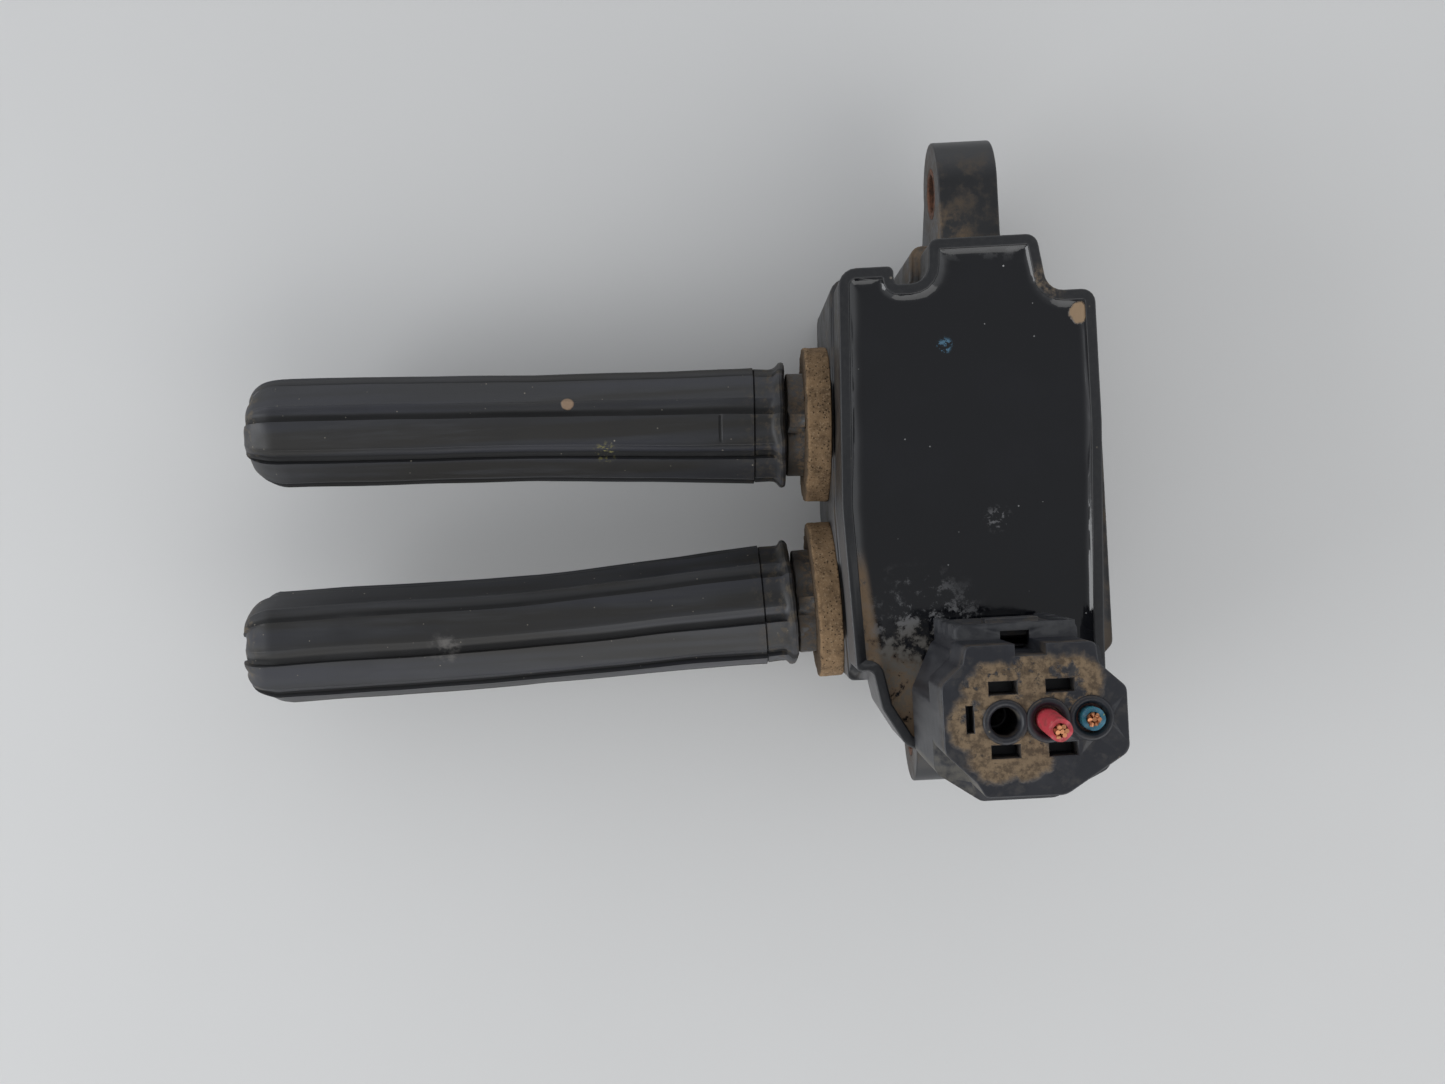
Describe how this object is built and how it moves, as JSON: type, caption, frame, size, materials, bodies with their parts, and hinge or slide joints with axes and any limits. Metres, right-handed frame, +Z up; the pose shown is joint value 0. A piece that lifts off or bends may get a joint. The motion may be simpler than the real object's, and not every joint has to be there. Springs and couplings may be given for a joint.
{
  "type": "ignition coil",
  "caption": "Twin-tower ignition coil with splayed fluted rubber boots, resin-filled body, bushed mounting lugs and a latched harness plug on cut wire stubs.",
  "frame": {"origin": "middle of the overall box, on the plane the coil lies on", "axes": "+X from the spark plug boots towards the coil body, +Y towards the upper lug, +Z up out of the resin face"},
  "size_m": [0.1504, 0.1138, 0.0829],
  "materials": {
    "housing_plastic": "moulded glass-filled plastic, satin, dusty in the corners",
    "resin": "glossy black potting resin with a raised edge where it wets the wall",
    "bush_steel": "rusted steel sleeve",
    "seal_foam": "open foam rubber, tan with dust",
    "boot_rubber": "satin charcoal silicone rubber, fluted along its length",
    "spring_steel": "drawn spring wire",
    "terminal_brass": "plain brass",
    "winding_copper": "enamelled copper wire",
    "core_steel": "stacked electrical steel sheets",
    "magnet_black": "sintered, matte",
    "bobbin_plastic": "natural moulded plastic",
    "pin_tin": "tin plated",
    "plug_plastic": "black moulded plastic, caked with clay dust at the rear",
    "latch_plastic": "black moulded plastic",
    "lock_plastic": "grey moulded plastic",
    "seal_silicone": "orange-brown silicone",
    "grommet_silicone": "dark red-brown silicone",
    "wire_red": "red insulation, faded and dusty",
    "wire_blue": "blue-green insulation",
    "wire_copper": "bare stranded copper, tarnished"
  },
  "bodies": {
    "coil": {"housing": "housing_plastic", "resin_fill": "resin", "lug_bush_upper": "bush_steel", "lug_bush_lower": "bush_steel", "foam_seal_upper": "seal_foam", "foam_seal_lower": "seal_foam", "tower_terminal_upper": "terminal_brass", "tower_terminal_lower": "terminal_brass", "secondary_lead_upper": "winding_copper", "secondary_lead_lower": "winding_copper", "core_frame": "core_steel", "core_leg": "core_steel", "bias_magnet": "magnet_black", "primary_bobbin": "bobbin_plastic", "primary_winding": "winding_copper", "secondary_bobbin": "bobbin_plastic", "secondary_winding": "winding_copper", "connector_pin_1": "pin_tin", "connector_pin_2": "pin_tin", "connector_pin_3": "pin_tin"},
    "upper_boot": {"boot_upper": "boot_rubber", "contact_spring_upper": "spring_steel"},
    "lower_boot": {"boot_lower": "boot_rubber", "contact_spring_lower": "spring_steel"},
    "harness_plug": {"plug_housing": "plug_plastic", "plug_seal": "seal_silicone", "plug_terminal_2": "pin_tin", "plug_terminal_3": "pin_tin", "wire_seal_2": "grommet_silicone", "wire_seal_3": "grommet_silicone", "wire_red_insulation": "wire_red", "wire_red_copper": "wire_copper", "wire_blue_insulation": "wire_blue", "wire_blue_copper": "wire_copper"},
    "latch": {"plug_latch": "latch_plastic"},
    "terminal_lock": {"plug_terminal_lock": "lock_plastic"}
  },
  "joints": [
    {"name": "plug_slide", "type": "slide", "parent": "coil", "child": "harness_plug", "axis": [0, 0, 1], "range_m": [0, 0.022]},
    {"name": "latch_press", "type": "hinge", "parent": "harness_plug", "child": "latch", "pos_m": [0.05338, -0.0292, 0.057], "axis": [1, 0, 0], "range_deg": [0, 5], "stiffness_Nm_per_rad": 0.05},
    {"name": "terminal_lock_slide", "type": "slide", "parent": "harness_plug", "child": "terminal_lock", "axis": [0, 0, -1], "range_m": [0, 0.0018]},
    {"name": "boot_upper_pull", "type": "slide", "parent": "coil", "child": "upper_boot", "axis": [-0.9993, 0.0366, 0], "range_m": [0, 0.028]},
    {"name": "boot_lower_pull", "type": "slide", "parent": "coil", "child": "lower_boot", "axis": [-0.9993, -0.0366, 0], "range_m": [0, 0.028]}
  ]
}
